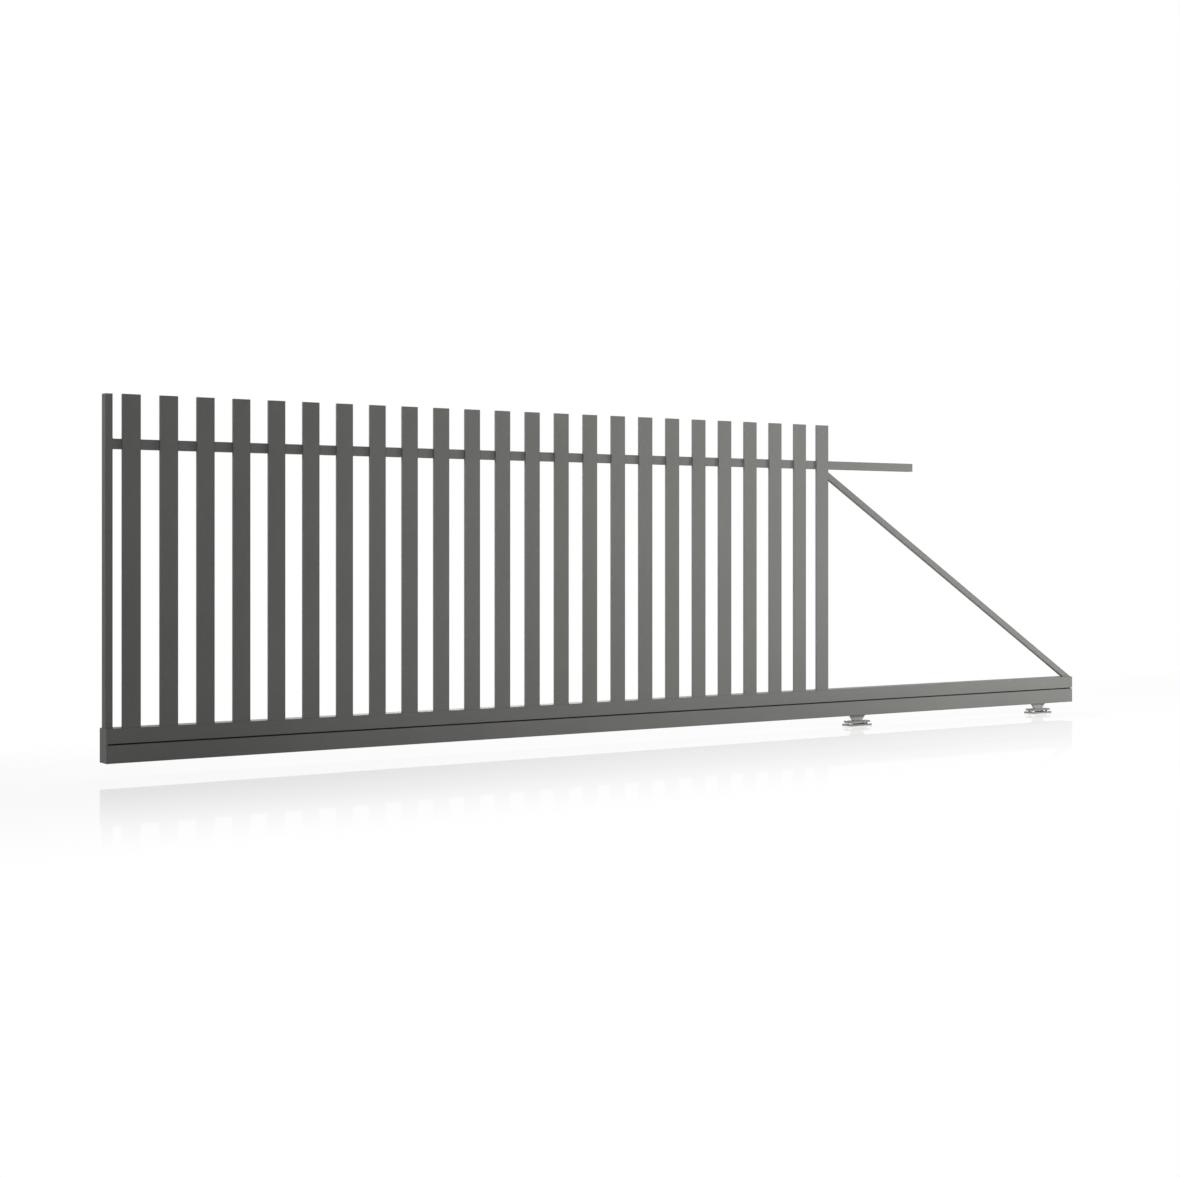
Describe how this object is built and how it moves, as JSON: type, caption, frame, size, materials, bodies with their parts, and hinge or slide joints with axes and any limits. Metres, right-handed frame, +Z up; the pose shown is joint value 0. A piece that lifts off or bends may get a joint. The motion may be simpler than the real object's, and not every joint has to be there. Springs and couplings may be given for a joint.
{
  "type": "self-supporting sliding gate",
  "caption": "Aluminium sliding gate leaf of upright flat pickets on a deep bottom beam with a braced tail, carried by two roller carriages inside its lower rail.",
  "frame": {"origin": "middle of the underside of the front carriage's base plate, on the ground", "axes": "+X along the gate towards its tail, the way it opens; +Z up; the pickets' face looks along -Y"},
  "size_m": [5.477, 0.075, 1.5],
  "materials": {
    "coated_aluminium": "satin",
    "end_plugs": "satin",
    "carriage_plates": "satin",
    "fasteners": "satin",
    "rollers": "matte"
  },
  "bodies": {
    "carriages": {"front_base_plate": "carriage_plates", "front_upper_plate": "carriage_plates", "front_levelling_screws": "fasteners", "front_web_plate": "carriage_plates", "front_carriage_rollers": "rollers", "front_carriage_axles": "fasteners", "rear_base_plate": "carriage_plates", "rear_upper_plate": "carriage_plates", "rear_levelling_screws": "fasteners", "rear_web_plate": "carriage_plates", "rear_carriage_rollers": "rollers", "rear_carriage_axles": "fasteners"},
    "leaf": {"front_stile": "coated_aluminium", "rear_stile": "coated_aluminium", "top_rail": "coated_aluminium", "picket_01": "coated_aluminium", "picket_02": "coated_aluminium", "picket_03": "coated_aluminium", "picket_04": "coated_aluminium", "picket_05": "coated_aluminium", "picket_06": "coated_aluminium", "picket_07": "coated_aluminium", "picket_08": "coated_aluminium", "picket_09": "coated_aluminium", "picket_10": "coated_aluminium", "picket_11": "coated_aluminium", "picket_12": "coated_aluminium", "picket_13": "coated_aluminium", "picket_14": "coated_aluminium", "picket_15": "coated_aluminium", "picket_16": "coated_aluminium", "picket_17": "coated_aluminium", "picket_18": "coated_aluminium", "picket_19": "coated_aluminium", "picket_20": "coated_aluminium", "picket_21": "coated_aluminium", "picket_22": "coated_aluminium", "picket_23": "coated_aluminium", "picket_24": "coated_aluminium", "picket_caps": "end_plugs", "bottom_beam": "coated_aluminium", "running_rail": "coated_aluminium", "front_end_cap": "end_plugs", "tube_end_caps": "end_plugs", "brace": "coated_aluminium"}
  },
  "joints": [
    {"name": "leaf_slide", "type": "slide", "parent": "carriages", "child": "leaf", "axis": [1, 0, 0], "range_m": [0, 3.7]}
  ]
}
